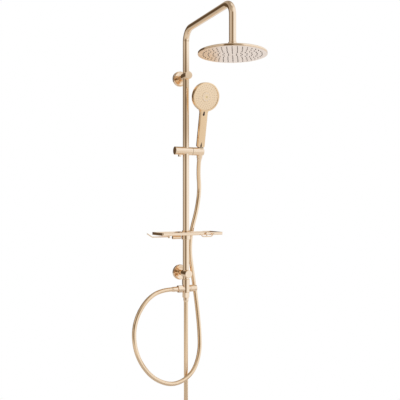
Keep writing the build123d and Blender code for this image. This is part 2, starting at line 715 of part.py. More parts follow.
def tray_plan(level, inset=0):
    """The tray's plan at a level, with the gap for the hose in its rear edge, drawn in by an inset."""
    left, right, notch = HOSE_NOTCH
    with BuildSketch(upright(level)) as plan:
        with BuildLine():
            Polyline(
                (-SHELF_HALF_W, -SHELF_FRONT), (SHELF_HALF_W, -SHELF_FRONT), (SHELF_HALF_W, SHELF_REAR),
                (right, SHELF_REAR), (right, notch), (left, notch), (left, SHELF_REAR),
                (-SHELF_HALF_W, SHELF_REAR), (-SHELF_HALF_W, -SHELF_FRONT),
            )
        make_face()
        fillet(plan.vertices(), SHELF_CORNER_R)
        if inset:
            offset(amount=-inset, mode=Mode.REPLACE)
    return plan.sketch


BOSS_R = COLLAR_NECK_R + 4.5
with BuildPart() as shelf_tray:
    extrude(tray_plan(SHELF_BOTTOM), amount=SHELF_TOP - SHELF_BOTTOM)
    extrude(tray_plan(SHELF_BOTTOM, SHELF_WALL), amount=SHELF_FLOOR_Z - SHELF_BOTTOM, mode=Mode.SUBTRACT)
    inside = SHELF_FLOOR_Z + SHELF_FLOOR_T
    extrude(tray_plan(inside, SHELF_WALL), amount=SHELF_TOP - inside, mode=Mode.SUBTRACT)
    with BuildSketch(upright(SHELF_BOTTOM)):
        Circle(BOSS_R)
    extrude(amount=SHELF_TOP - SHELF_BOTTOM)
    with BuildSketch(upright(SHELF_BOTTOM)):
        Circle(COLLAR_NECK_R + RUN)
        with Locations((SIDE_HOOK_X, SIDE_HOOK_Y - TUBE_Y)):
            Circle(2)
    extrude(amount=SHELF_TOP - SHELF_BOTTOM, mode=Mode.SUBTRACT)
    with BuildSketch(wall_plane(HOOK_BOSS_Z).offset(-HOOK_Y - 10)):
        with Locations((HOOK_X, 0)):
            Circle(1.4)
    extrude(amount=10, mode=Mode.SUBTRACT)
write(shelf_tray, "shelf_tray")

with BuildPart() as shelf_collar:
    with BuildSketch(upright(COLLAR_BOTTOM)):
        Circle(COLLAR_R)
    extrude(amount=SHELF_BOTTOM - COLLAR_BOTTOM - 0.05)
    chamfer(shelf_collar.edges().group_by(Axis.Z)[0], 0.8)
    with BuildSketch(upright(SHELF_BOTTOM - 1)):
        Circle(COLLAR_NECK_R)
    extrude(amount=COLLAR_TOP - SHELF_BOTTOM + 1)
    chamfer(shelf_collar.edges().group_by(Axis.Z)[-1], 0.6)
    with BuildSketch(upright(COLLAR_BOTTOM)):
        Circle(TUBE_R + EASE)
    extrude(amount=COLLAR_TOP - COLLAR_BOTTOM, mode=Mode.SUBTRACT)
    with BuildSketch(upright(SHELF_BOTTOM - 2)):
        Circle(TUBE_R + 1.25)
    extrude(amount=12, mode=Mode.SUBTRACT)
    with BuildSketch(across(-COLLAR_R - 1, SHELF_KNOB_Z)):
        Circle(3 + RUN)
    extrude(amount=COLLAR_R + 1 - TUBE_R, mode=Mode.SUBTRACT)
write(shelf_collar, "shelf_collar")
write(sleeve(upright(SHELF_BOTTOM), TUBE_R + RUN, TUBE_R + 1.2, -1.9, 9.9), "shelf_liner")

thumb = Plane(origin=(0, TUBE_Y, SHELF_KNOB_Z), x_dir=(0, 1, 0), z_dir=(-1, 0, 0))
write(
    turned(thumb, [(0, 11.7), (2.2, 11.7), (3, 12.5), (3, 34), (0, 34)]),
    "shelf_lock_screw",
)
shelf_knob = turned(
    thumb,
    [(3, 20), (SHELF_KNOB_R - 1, 20), (SHELF_KNOB_R, 21), (SHELF_KNOB_R, 51), (SHELF_KNOB_R - 1, 52),
     (0, 52), (0, 34), (3, 34)],
)
write(shelf_knob, "shelf_knob")

FRONT_FACE_Y = TUBE_Y - SHELF_FRONT
hook_screw = Plane(origin=(HOOK_X, FRONT_FACE_Y, HOOK_BOSS_Z), x_dir=(1, 0, 0), z_dir=(0, -1, 0))
with BuildPart() as shelf_hook:
    with BuildLine() as hook_line:
        FilletPolyline(
            (28, HOOK_Y, 136), (34, HOOK_Y, 132.3), (65, HOOK_Y, 132.3), (76, HOOK_Y, 142.5), radius=4
        )
    with BuildSketch(Plane(origin=hook_line.line @ 0, z_dir=hook_line.line % 0)):
        Circle(HOOK_R)
    sweep()
    with BuildSketch(Plane(origin=(HOOK_X, HOOK_Y, 132.3))):
        Circle(HOOK_R)
    extrude(amount=HOOK_BOSS_Z - 132.3)
    with BuildSketch(hook_screw):
        Circle(3.4)
    extrude(amount=FRONT_FACE_Y - HOOK_Y + 2.5)
    with BuildSketch(hook_screw):
        Circle(1.2)
    extrude(amount=5, mode=Mode.SUBTRACT)
write(shelf_hook, "shelf_hook")

side_boss = Plane(origin=(SIDE_HOOK_X, SIDE_HOOK_Y, SHELF_BOTTOM))
with BuildPart() as shelf_side_hook:
    with BuildLine() as side_line:
        FilletPolyline(
            (SIDE_HOOK_X, SIDE_HOOK_Y, SIDE_HOOK_Z), (-142, SIDE_HOOK_Y, SIDE_HOOK_Z),
            (-161, SIDE_HOOK_Y, 145), radius=8,
        )
    with BuildSketch(Plane(origin=side_line.line @ 0, z_dir=side_line.line % 0)):
        Circle(HOOK_R)
    sweep()
    with BuildSketch(side_boss.offset(-8.5)):
        Circle(4)
    extrude(amount=8.5)
    with BuildSketch(side_boss):
        Circle(1.6)
    extrude(amount=-7, mode=Mode.SUBTRACT)
write(shelf_side_hook, "shelf_side_hook")

with BuildPart() as hook_screws:
    floor = side_boss.offset(SHELF_FLOOR_Z + SHELF_FLOOR_T - SHELF_BOTTOM)
    add(turned(floor, [(0, -9.5), (1.6, -9.5), (1.6, 0), (3.4, 0), (3, 1.6), (0, 1.6)]).part)
    add(turned(hook_screw, [(0, -4.6), (1.9, -4.6), (2.2, -3), (1.2, -3), (1.2, 4.6), (0, 4.6)]).part)
write(hook_screws, "hook_screws")

# Hoses: the straight supply, and the shower hose from the outlet round under the column and up to the grip

write(sleeve(upright(0), 0, HOSE_R, SUPPLY_BOTTOM_Z, SUPPLY_TOP_Z), "supply_hose")

HOSE_ROUTE = [
    (-54.5, -57.0, -53.0),
    (-100.0, -57.0, -53.0),
    (-158.0, -66.0, -87.0),
    (-197.0, -72.0, -154.0),
    (-201.0, -78.0, -228.0),
    (-176.0, -82.0, -297.0),
    (-127.0, -85.0, -353.0),
    (-55.0, -86.0, -380.0),
    (16.0, -79.0, -350.0),
    (51.0, -64.0, -284.0),
    (56.0, -51.0, -212.0),
    (54.0, -39.0, -140.0),
    (49.0, -29.0, -68.0),
    (39.0, -26.0, 4.0),
    (28.0, -26.0, 77.0),
    (35.0, -26.0, 150.0),
    (56.0, -27.0, 220.0),
    (67.0, -29.0, 294.0),
    (55.0, -42.0, 364.0),
]
hose_end = grip.from_local_coords((0, 0, FERRULE_END))
route = [Vector(point) for point in HOSE_ROUTE] + [hose_end]
route[-2] = hose_end - grip.z_dir * 37  # the hose leaves the grip in line with it
bend_radii = []
for before, corner, after in zip(route, route[1:], route[2:]):
    shorter = min((corner - before).length, (after - corner).length)
    half_turn = radians((corner - before).get_angle(after - corner)) / 2
    bend_radii.append(0.45 * shorter / tan(half_turn))
print("hose bend radii", [round(radius) for radius in bend_radii])
with BuildPart() as shower_hose:
    with BuildLine() as hose_line:
        FilletPolyline(*route, radius=bend_radii)
    with BuildSketch(across(HOSE_ROUTE[0][0], DIVERTER_Z)):
        Circle(HOSE_R)
    sweep()
write(shower_hose, "shower_hose")
hose_length = sum(edge.length for edge in hose_line.edges())
print("hose length", round(hose_length, 1), "volume ratio",
      round(shower_hose.part.volume / (hose_length * 3.14159265 * HOSE_R**2), 4))
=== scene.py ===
import json
import math

import bmesh
import bpy
import numpy as np
from mathutils import Matrix, Vector


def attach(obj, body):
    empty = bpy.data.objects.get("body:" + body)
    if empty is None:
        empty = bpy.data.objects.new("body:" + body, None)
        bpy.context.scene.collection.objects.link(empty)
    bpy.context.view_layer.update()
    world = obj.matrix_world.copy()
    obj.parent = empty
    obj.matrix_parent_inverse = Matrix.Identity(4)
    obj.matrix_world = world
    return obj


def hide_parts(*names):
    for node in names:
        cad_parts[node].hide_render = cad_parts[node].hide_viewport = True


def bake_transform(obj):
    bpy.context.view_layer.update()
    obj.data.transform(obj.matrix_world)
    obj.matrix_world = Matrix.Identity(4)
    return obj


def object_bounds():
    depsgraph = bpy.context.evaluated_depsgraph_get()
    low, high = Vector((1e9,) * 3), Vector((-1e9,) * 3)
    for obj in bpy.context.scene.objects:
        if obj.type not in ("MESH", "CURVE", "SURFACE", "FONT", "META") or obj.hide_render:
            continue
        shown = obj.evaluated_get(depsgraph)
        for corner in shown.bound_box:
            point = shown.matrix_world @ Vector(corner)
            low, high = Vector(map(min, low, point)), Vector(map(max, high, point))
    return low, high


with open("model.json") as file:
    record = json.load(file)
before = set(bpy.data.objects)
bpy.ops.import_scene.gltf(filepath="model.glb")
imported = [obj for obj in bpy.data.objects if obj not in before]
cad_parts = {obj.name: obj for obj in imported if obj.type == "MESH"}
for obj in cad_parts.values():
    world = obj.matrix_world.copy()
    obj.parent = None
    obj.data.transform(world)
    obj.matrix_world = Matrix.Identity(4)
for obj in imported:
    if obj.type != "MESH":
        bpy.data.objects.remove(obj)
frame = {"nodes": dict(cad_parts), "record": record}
cad_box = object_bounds()
nodes = frame["nodes"]
MM = 0.001

# ---------------------------------------------------------------- materials

ROSE_GOLD = (0.95, 0.74, 0.52)
NOISE_DETAIL, NOISE_LOW, NOISE_HIGH = 3.0, 0.3, 0.7
POLISH_SCALE, GRAIN_HEIGHT = 35, 0.05 * MM


def shader(name):
    """A new node material and its Principled shader."""
    material = bpy.data.materials.new(name)
    material.use_nodes = True
    return material, material.node_tree.nodes["Principled BSDF"]


def noise(material, scale):
    """A noise texture in the piece's own coordinates."""
    tree = material.node_tree
    place = tree.nodes.new("ShaderNodeTexCoord")
    texture = tree.nodes.new("ShaderNodeTexNoise")
    texture.inputs["Scale"].default_value = scale
    texture.inputs["Detail"].default_value = NOISE_DETAIL
    tree.links.new(place.outputs["Object"], texture.inputs["Vector"])
    return texture


def share_of(tree, value, start, end, low=0, high=1):
    """A value from start to end mapped to low..high, and held there past either end."""
    node = tree.nodes.new("ShaderNodeMapRange")
    node.inputs["From Min"].default_value = start
    node.inputs["From Max"].default_value = end
    node.inputs["To Min"].default_value = low
    node.inputs["To Max"].default_value = high
    tree.links.new(value, node.inputs["Value"])
    return node.outputs[0]


def bumpy(material, principled, height, strength):
    """Feeds a height into the shader's normal."""
    bump = material.node_tree.nodes.new("ShaderNodeBump")
    bump.inputs["Strength"].default_value = strength
    bump.inputs["Distance"].default_value = GRAIN_HEIGHT
    material.node_tree.links.new(height, bump.inputs["Height"])
    material.node_tree.links.new(bump.outputs["Normal"], principled.inputs["Normal"])


def plating(name, tint, smooth, worn):
    """Polished plating: one tint, with faint cloudy differences in its polish."""
    material, principled = shader(name)
    principled.inputs["Base Color"].default_value = (*tint, 1)
    principled.inputs["Metallic"].default_value = 1.0
    clouds = noise(material, POLISH_SCALE)
    polish = share_of(material.node_tree, clouds.outputs[0], NOISE_LOW, NOISE_HIGH, smooth, worn)
    material.node_tree.links.new(polish, principled.inputs["Roughness"])
    return material


def moulded(name, dark, light, rough, scale, relief):
    """Rubber or plastic, mottled between two close tones, with a fine moulded grain."""
    material, principled = shader(name)
    tones = material.node_tree.nodes.new("ShaderNodeMix")
    tones.data_type = "RGBA"
    tones.inputs["A"].default_value = (*dark, 1)
    tones.inputs["B"].default_value = (*light, 1)
    grain = noise(material, scale)
    material.node_tree.links.new(grain.outputs[0], tones.inputs["Factor"])
    material.node_tree.links.new(tones.outputs["Result"], principled.inputs["Base Color"])
    principled.inputs["Roughness"].default_value = rough
    bumpy(material, principled, grain.outputs[0], relief)
    return material


gold = plating("rose_gold_plating", ROSE_GOLD, 0.035, 0.06)
gold_moulded = plating("rose_gold_on_abs", ROSE_GOLD, 0.05, 0.08)
gold_satin = plating("rose_gold_face", (0.96, 0.735, 0.485), 0.2, 0.26)
gold_handset = plating("rose_gold_handset", (0.96, 0.71, 0.44), 0.06, 0.1)
gold_brushed = plating("rose_gold_spray_plate", (0.97, 0.83, 0.7), 0.27, 0.33)
hose_cover = plating("hose_cover", (0.93, 0.7, 0.46), 0.06, 0.1)
steel = plating("bright_steel", (0.62, 0.61, 0.6), 0.18, 0.28)
plain_brass = plating("machined_brass", (0.78, 0.6, 0.3), 0.2, 0.3)
nylon = moulded(
    "white_nylon", (0.74, 0.72, 0.68), (0.82, 0.8, 0.76), rough=0.42, scale=900, relief=0.15
)
dark_plastic = moulded(
    "dark_plastic", (0.018, 0.014, 0.011), (0.03, 0.025, 0.02), rough=0.38, scale=1200, relief=0.2
)
grey_rubber = moulded(
    "grey_silicone", (0.085, 0.066, 0.058), (0.13, 0.105, 0.094), rough=0.55, scale=1500, relief=0.2
)
pale_dots = moulded(
    "hub_silicone", (0.93, 0.85, 0.8), (0.98, 0.92, 0.88), rough=0.4, scale=1500, relief=0.2
)
pale_rubber = moulded(
    "pale_silicone", (0.52, 0.38, 0.25), (0.58, 0.43, 0.29), rough=0.5, scale=1500, relief=0.2
)
# A near-black material that paints the shade inside the grip's grooves
painted_groove_shade = moulded(
    "painted_groove_shade", (0.028, 0.013, 0.006), (0.04, 0.02, 0.01), rough=0.3, scale=1200, relief=0.2
)
black_rubber = moulded(
    "black_rubber", (0.01, 0.01, 0.01), (0.02, 0.02, 0.02), rough=0.6, scale=1200, relief=0.2
)

FINISHES = {
    "gold_brass": gold, "gold_steel": gold, "gold_abs": gold_moulded, "gold_hose": hose_cover,
    "dark_plastic": dark_plastic, "white_nylon": nylon, "grey_rubber": grey_rubber,
    "black_rubber": black_rubber, "steel": steel, "plain_brass": plain_brass,
}
# The pieces that look different from the rest of their material slot
OWN_FINISHES = {
    "handset_face": gold_satin, "spray_hub": gold_satin, "handset_bezel": gold_handset,
    "hub_screw": plain_brass, "rain_face_plate": gold_brushed,
}
for part in frame["record"]["subparts"]:
    node = nodes[part["node"]]
    node.data.materials.clear()
    node.data.materials.append(OWN_FINISHES.get(part["node"], FINISHES[part["material_slot"]]))


def piece(name, mesh, body, material, slot, *stands_for):
    """Puts a finished mesh in the scene on a body, with the CAD nodes that it stands for."""
    made = bpy.data.objects.new(name, mesh)
    bpy.context.scene.collection.objects.link(made)
    mesh.materials.append(material)
    if stands_for:
        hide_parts(*stands_for)
    if body:
        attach(made, body)
    return made


# ---------------------------------------------------------------- shapes

ARC_STEPS = 6
SHARP_OVER = 35
AXIS_R = 0.01  # the radius that stands for the axis in a turned profile
MOST_CUT = 0.45  # the most of an edge that the rounding at one of its ends takes


def finished(name, mesh, sharp_over=SHARP_OVER):
    """A bmesh as a smooth-shaded mesh whose edges over an angle in degrees stay sharp."""
    bmesh.ops.recalc_face_normals(mesh, faces=mesh.faces)
    made = bpy.data.meshes.new(name)
    mesh.to_mesh(made)
    mesh.free()
    made.shade_smooth()
    made.set_sharp_from_angle(angle=math.radians(sharp_over))
    return made


def arc(centre, radius, start, end, steps=ARC_STEPS):
    """Points on a plane arc, from one angle to another in degrees."""
    turns = [math.radians(start + (end - start) * step / steps) for step in range(steps + 1)]
    return [(centre[0] + radius * math.cos(t), centre[1] + radius * math.sin(t)) for t in turns]


def softened(profile, radius):
    """A closed plane profile with its corners rounded, by less where an edge is short."""
    corners = [Vector(point) for point in profile]
    rounded = []
    for index, corner in enumerate(corners):
        back, ahead = corners[index - 1] - corner, corners[(index + 1) % len(corners)] - corner
        cut = min(radius, MOST_CUT * back.length, MOST_CUT * ahead.length)
        first, last = corner + cut * back.normalized(), corner + cut * ahead.normalized()
        for step in range(ARC_STEPS + 1):
            t = step / ARC_STEPS
            rounded.append((1 - t) ** 2 * first + 2 * t * (1 - t) * corner + t * t * last)
    return rounded


def bridge(mesh, rings):
    """Joins each ring of vertices to the next with quads."""
    for low, high in zip(rings, rings[1:]):
        for index in range(len(low)):
            after = (index + 1) % len(low)
            mesh.faces.new((low[index], low[after], high[after], high[index]))


def lathe(mesh, profile, place, sides):
    """Adds a closed (radius, height) profile turned about z, in millimetres, moved by a matrix."""
    rings = []
    for step in range(sides):
        turn = 2 * math.pi * step / sides
        rings.append([
            mesh.verts.new(place @ (MM * Vector((r * math.cos(turn), r * math.sin(turn), h))))
            for r, h in profile
        ])
    bridge(mesh, rings + rings[:1])


def loop_at(mesh, outline, inset, height, place):
    """A ring of vertices on an outline drawn in by an inset, at a height, in millimetres."""
    count = len(outline)
    ring = []
    for index, (x, y) in enumerate(outline):
        before, after = outline[index - 1], outline[(index + 1) % count]
        along = Vector((after[0] - before[0], after[1] - before[1])).normalized()
        corner = Vector((x - inset * along.y, y + inset * along.x, height))
        ring.append(mesh.verts.new(place @ (MM * corner)))
    return ring


def cap(mesh, *rings):
    """Fills the flat area inside the first ring, less the holes that the other rings make."""
    edges = []
    for ring in rings:
        for here, after in zip(ring, ring[1:] + ring[:1]):
            edges.append(mesh.edges.get((here, after)) or mesh.edges.new((here, after)))
    bmesh.ops.triangle_fill(mesh, edges=edges, use_beauty=True)


NOZZLE_SIDES, TIP_ROUND = 14, 0.15


def nozzles(mesh, rings, base, tip, base_r, tip_r, place):
    """Adds tapered rubber nozzles on rings of (radius, count), each with a dished tip."""
    rise = 1 if tip > base else -1
    dish = tip - 0.5 * rise
    profile = [
        (AXIS_R, base), (base_r, base), (base_r, base + 0.3 * rise),
        (tip_r + TIP_ROUND, tip - 0.35 * rise), (tip_r, tip - 0.08 * rise), (tip_r - TIP_ROUND, tip),
        (0.45, tip), (0.3, dish), (AXIS_R, dish),
    ]
    for radius, count in rings:
        for number in range(count):
            turn = Matrix.Rotation(2 * math.pi * number / count, 4, "Z")
            lathe(mesh, profile, place @ turn @ Matrix.Translation((radius * MM, 0, 0)), NOZZLE_SIDES)


# ---------------------------------------------------------------- hoses

HOSE_D = 14.6 * MM
HANDSET_X = 55 * MM
LEAN = math.radians(12.8)
RISER_Y = -57 * MM
SLIDER_Z = 431 * MM
GRIP = Vector((0, -math.sin(LEAN), math.cos(LEAN)))
GRIP_START = Vector((HANDSET_X, RISER_Y, SLIDER_Z))
HOSE_END, STRAIGHT_END = 32 * MM, 37 * MM  # below the slider's axis, and the hose's last run
HOSE_TOP = GRIP_START - HOSE_END * GRIP
TUBE_SIDES, CURVE_ORDER = 32, 3
# Where the hose passes from slider to holder, and from holder to handset, as lengths from its top
BEND_BELOW, STUB_BELOW = 190 * MM, 28 * MM

# The shower hose's route, in metres, through the same points as in the CAD part. The supply hose is
# straight there, and runs between the same two ends here.
SHOWER_ROUTE = [
    (-0.0545, -0.057, -0.053),
    (-0.100, -0.057, -0.053),
    (-0.158, -0.066, -0.087),
    (-0.197, -0.072, -0.154),
    (-0.201, -0.078, -0.228),
    (-0.176, -0.082, -0.297),
    (-0.127, -0.085, -0.353),
    (-0.055, -0.086, -0.380),
    (0.016, -0.079, -0.350),
    (0.051, -0.064, -0.284),
    (0.056, -0.051, -0.212),
    (0.054, -0.039, -0.140),
    (0.049, -0.029, -0.068),
    (0.039, -0.026, 0.004),
    (0.028, -0.026, 0.077),
    (0.035, -0.026, 0.150),
    (0.056, -0.027, 0.220),
    (0.067, -0.029, 0.294),
    tuple(HOSE_TOP - STRAIGHT_END * GRIP),
    tuple(HOSE_TOP),
]
SUPPLY_ROUTE = [
    (0, -0.057, -0.100),
    (0, -0.057, -0.279),
    (0, -0.057, -0.458),
]


def centreline(name, route, resolution):
    """The points of the smooth spline that has the route as its control points."""
    curve = bpy.data.curves.new(name + "_line", "CURVE")
    curve.dimensions = "3D"
    spline = curve.splines.new("NURBS")
    spline.points.add(len(route) - 1)
    for point, place in zip(spline.points, route):
        point.co = (*place, 1)
    spline.order_u = CURVE_ORDER
    spline.use_endpoint_u = True
    spline.resolution_u = resolution
    holder = bpy.data.objects.new(name + "_line", curve)
    bpy.context.scene.collection.objects.link(holder)
    line = bpy.data.meshes.new_from_object(holder)
    points = [Vector(v.co) for v in line.vertices]
    bpy.data.objects.remove(holder)
    return points


def tube_mesh(name, points, radius):
    """A round tube along the points, closed at both ends, with rings that don't twist."""
    runs = [(b - a).normalized() for a, b in zip(points, points[1:])]
    tangents = [runs[0], *((a + b).normalized() for a, b in zip(runs, runs[1:])), runs[-1]]
    across = tangents[0].orthogonal().normalized()
    mesh = bmesh.new()
    rings = []
    for place, along in zip(points, tangents):
        across = (across - across.dot(along) * along).normalized()
        side = along.cross(across)
        ring = []
        for step in range(TUBE_SIDES):
            turn = 2 * math.pi * step / TUBE_SIDES
            out = math.cos(turn) * across + math.sin(turn) * side
            ring.append(mesh.verts.new(place + radius * out))
        rings.append(ring)
    bridge(mesh, rings)
    mesh.faces.new(reversed(rings[0]))
    mesh.faces.new(rings[-1])
    return finished(name, mesh)


def length_of(points):
    """The length of the line through the points."""
    return sum((b - a).length for a, b in zip(points, points[1:]))


def below_grip(points, distance):
    """The index of the first point that is within a distance of the line's end, along the line."""
    left = length_of(points)
    for index, (a, b) in enumerate(zip(points, points[1:])):
        if left <= distance:
            return index
        left -= (b - a).length
    return len(points) - 1


route_points = centreline("shower_hose", SHOWER_ROUTE, resolution=24)
bend_at, stub_at = below_grip(route_points, BEND_BELOW), below_grip(route_points, STUB_BELOW)
stretches = {
    "shower_hose": route_points[:bend_at + 1],
    "shower_hose_top": route_points[bend_at:stub_at + 1],
    "shower_hose_end": route_points[stub_at:],
}
hose = {
    name: piece(name + "_tube", tube_mesh(name, points, HOSE_D / 2), None, hose_cover, "gold_hose")
    for name, points in stretches.items()
}
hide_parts("shower_hose")


def follow_by_length(points):
    """Works out, for each vertex of a hose's tube, its share of the length along it, eased in and out,
    and keeps none of it.
    """
    reached, total = 0.0, length_of(points)
    weights = []
    for before, place in zip([points[0], *points], points):
        reached += (place - before).length
        share = reached / total
        weights += [share * share * (3 - 2 * share)] * TUBE_SIDES


for name, bodies in (
    ("shower_hose", ("column", "slider")),
    ("shower_hose_top", ("slider", "holder")),
    ("shower_hose_end", ("holder", "handset")),
):
    points = stretches[name]
    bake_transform(hose[name])
    follow_by_length(points)

supply_points = centreline("supply_hose", SUPPLY_ROUTE, resolution=12)
supply = piece(
    "supply_hose_tube", tube_mesh("supply_hose", supply_points, HOSE_D / 2), "column", hose_cover,
    "gold_hose", "supply_hose",
)

# ---------------------------------------------------------------- rain head

HEAD_PLACE = Matrix.Translation((0, -395 * MM, 694 * MM))
HEAD_R, RIM_H, SHELL_T, HUB_R, HUB_TOP = 105, 6.4, 1.5, 14.5, 12
MAT_R, MAT_LOW, MAT_HIGH, RAIN_TIP = HEAD_R - 5.1, 1.5, 2.7, -1.6
NOZZLE_RINGS = ((14, 6), (29, 12), (44, 18), (59, 24), (74, 30), (89, 36))  # radius, count

rain_shell = bmesh.new()
lathe(rain_shell, softened([
    (13.4, HUB_TOP), (HUB_R, HUB_TOP), (HUB_R, 8.9), (HEAD_R - 2.2, RIM_H + 1.4), (HEAD_R, RIM_H),
    (HEAD_R, 0), (HEAD_R - SHELL_T, 0), (HEAD_R - SHELL_T, RIM_H - 0.6), (16, 7.2), (16, 4), (11.4, 4),
], 1.1), HEAD_PLACE, sides=160)
piece("rain_shell", finished("rain_shell", rain_shell, sharp_over=50), "rain_head", gold_moulded,
      "gold_abs", "rain_head_shell")

mat = bmesh.new()
lathe(mat, [(AXIS_R, MAT_LOW), (MAT_R, MAT_LOW), (MAT_R, MAT_HIGH), (AXIS_R, MAT_HIGH)], HEAD_PLACE,
      sides=96)
nozzles(mat, NOZZLE_RINGS, MAT_LOW, RAIN_TIP, base_r=1.65, tip_r=1.05, place=HEAD_PLACE)
piece("rain_nozzles", finished("rain_nozzles", mat), "rain_head", grey_rubber, "grey_rubber",
      "rain_nozzle_mat")

# ---------------------------------------------------------------- handset

SPRAY_S, SPRAY_R, HANDLE_HALF_W, HANDLE_FOOT = 193, 50, 15.2, 16
SHELL_BACK, SHELL_FRONT, POCKET_R, POCKET_FLOOR = -9, 8, 47.5, -6.5
FRONT_FACING = Vector((0, -math.cos(LEAN), -math.sin(LEAN)))
HANDSET_PLACE = Matrix((
    (1, 0, 0, GRIP_START.x),
    (0, GRIP.y, FRONT_FACING.y, GRIP_START.y),
    (0, GRIP.z, FRONT_FACING.z, GRIP_START.z),
    (0, 0, 0, 1),
))
SPRAY_PLACE = HANDSET_PLACE @ Matrix.Translation((0, SPRAY_S * MM, 0))

BACK_ROUND, NECK_R, FOOT_ROUND, CROWN, FRONT_SHARE = 5, 14, 4, 0.8, 0.8
SIDE_TOP, SIDE_STEP = -0.2, 0.95
# Two dark wedges set flush in the grip's front, painted shade of the grooves there, as outlines across
# and along it
WEDGES = (
    ((-4.2, 142.3), (0.2, 142.3), (0.5, 130), (-1.5, 127.2), (-5.5, 127.2), (-7.5, 130)),
    ((-0.9, 36), (1.4, 20), (0.4, 17.5), (-4.4, 17.5), (-5.4, 20)),
)
WEDGE_LOW, WEDGE_HIGH, WEDGE_BEVEL, WEDGE_ROUND = 5.5, 8.08, 0.15, 1.2
NECK_X = HANDLE_HALF_W + NECK_R
NECK_S = SPRAY_S - math.sqrt((SPRAY_R + NECK_R) ** 2 - NECK_X ** 2)
GRIP_ROWS, JOIN_R, FLARED_HALF_W = 120, 49.2, 24


def grip_half_width(s):
    """Half the grip's width at a place along it: rounded at the foot, flared into the head."""
    if s > NECK_S:
        return NECK_X - math.sqrt(max(NECK_R ** 2 - (s - NECK_S) ** 2, 0))
    short = max(HANDLE_FOOT + FOOT_ROUND - s, 0)
    return HANDLE_HALF_W - FOOT_ROUND + math.sqrt(FOOT_ROUND ** 2 - short ** 2)


def grip_section():
    """The grip's section as (share of half width, height): a crowned, chamfered front and a flat
    back with round corners."""
    front = [(u, SHELL_FRONT - CROWN * (u / FRONT_SHARE) ** 2)
             for u in (FRONT_SHARE * (step / 10 - 1) for step in range(21))]
    right = [(0.83, 6.6), (0.86, 5.6), (0.9, 4.1), (0.95, 2.2), (0.985, 0.9), (1, SIDE_TOP)]
    right += [(1, SIDE_TOP - step * SIDE_STEP) for step in range(1, 4)]
    right += [(1 - (BACK_ROUND - u) / HANDLE_HALF_W, SHELL_BACK + BACK_ROUND + f)
              for u, f in arc((0, 0), BACK_ROUND, 0, -90, 8)[1:]]
    back = [(u, SHELL_BACK) for u in (0.5, 0.33, 0.17, 0, -0.17, -0.33, -0.5)]
    return front + right + back + [(-u, f) for u, f in reversed(right)]


body = bmesh.new()
lathe(body, softened([
    (POCKET_R, SHELL_FRONT), (SPRAY_R, SHELL_FRONT), (SPRAY_R, SHELL_BACK + 3), (SPRAY_R - 3, SHELL_BACK),
    (AXIS_R, SHELL_BACK), (AXIS_R, POCKET_FLOOR), (POCKET_R, POCKET_FLOOR),
], 1.2), SPRAY_PLACE, sides=128)
section = grip_section()
rows = []
for row in range(GRIP_ROWS + 1):
    ring = []
    for share, height in section:
        end = SPRAY_S - math.sqrt(JOIN_R ** 2 - (share * FLARED_HALF_W) ** 2)
        along = HANDLE_FOOT + (end - HANDLE_FOOT) * row / GRIP_ROWS
        corner = Vector((share * grip_half_width(along), along, height))
        ring.append(body.verts.new(HANDSET_PLACE @ (MM * corner)))
    rows.append(ring)
bridge(body, rows)
cap(body, rows[0])
cap(body, rows[-1])
piece("handset_body", finished("handset_body", body), "handset", gold_handset, "gold_abs",
      "handset_shell")

# The dark wedges flush in the grip's front: painted shade of its grooves, as pieces of their own
groove_shade_wedges = bmesh.new()
for wedge in WEDGES:
    shape = softened(wedge, WEDGE_ROUND)
    loops = [loop_at(groove_shade_wedges, shape, inset, height, HANDSET_PLACE) for inset, height in (
        (0, WEDGE_LOW), (0, WEDGE_HIGH - WEDGE_BEVEL), (-WEDGE_BEVEL, WEDGE_HIGH),
    )]
    bridge(groove_shade_wedges, loops)
    cap(groove_shade_wedges, loops[0])
    cap(groove_shade_wedges, loops[-1])
piece("painted_groove_shades", finished("painted_groove_shades", groove_shade_wedges), "handset", painted_groove_shade, "dark_plastic")

SPRAY_RINGS, HUB_RING = ((25, 18), (32, 24), (39, 30)), (13.5, 10)  # radius, count
PAD_IN_R, PAD_OUT_R, PAD_LOW, PAD_HIGH, PAD_TIP = 17.6, 44, 5, 7, 10.1
HUB_LOW, HUB_TIP = 7.6, 11.1

pad = bmesh.new()
lathe(pad, [(PAD_IN_R, PAD_LOW), (PAD_OUT_R, PAD_LOW), (PAD_OUT_R, PAD_HIGH), (PAD_IN_R, PAD_HIGH)],
      SPRAY_PLACE, sides=72)
nozzles(pad, SPRAY_RINGS, PAD_HIGH, PAD_TIP, base_r=0.93, tip_r=0.78, place=SPRAY_PLACE)
piece("handset_nozzles", finished("handset_nozzles", pad), "handset", pale_rubber, "grey_rubber",
      "handset_nozzle_mat")

hub_nozzles = bmesh.new()
nozzles(hub_nozzles, (HUB_RING,), HUB_LOW, HUB_TIP, base_r=1.42, tip_r=1.25, place=SPRAY_PLACE)
piece("hub_nozzles", finished("hub_nozzles", hub_nozzles), "handset", pale_dots, "grey_rubber")

# ---------------------------------------------------------------- shelf

RISER_PLACE = Matrix.Translation((0, RISER_Y, 0))
TRAY_HALF_W, TRAY_REAR, TRAY_FRONT, TRAY_CORNER = 114, 36, -62.5, 5
NOTCH_LEFT, NOTCH_RIGHT, NOTCH_FRONT = 19.5, 79, 17.5
TRAY_BOTTOM, TRAY_TOP, FLOOR_LOW, FLOOR_HIGH, TRAY_WALL = 137, 147, 138.5, 141, 3
BOSS_R, BOSS_BORE_R, BOSS_SIDES = 18, 13.55, 64
TRAY_EDGE = 0.7
EDGE_MID = TRAY_EDGE * 0.3


def tray_outline():
    """The tray's plan, with the gap for the hose, its corners rounded."""
    corners = [
        (-TRAY_HALF_W, TRAY_FRONT), (TRAY_HALF_W, TRAY_FRONT), (TRAY_HALF_W, TRAY_REAR),
        (NOTCH_RIGHT, TRAY_REAR), (NOTCH_RIGHT, NOTCH_FRONT), (NOTCH_LEFT, NOTCH_FRONT),
        (NOTCH_LEFT, TRAY_REAR), (-TRAY_HALF_W, TRAY_REAR),
    ]
    return [tuple(point) for point in softened(corners, TRAY_CORNER)]


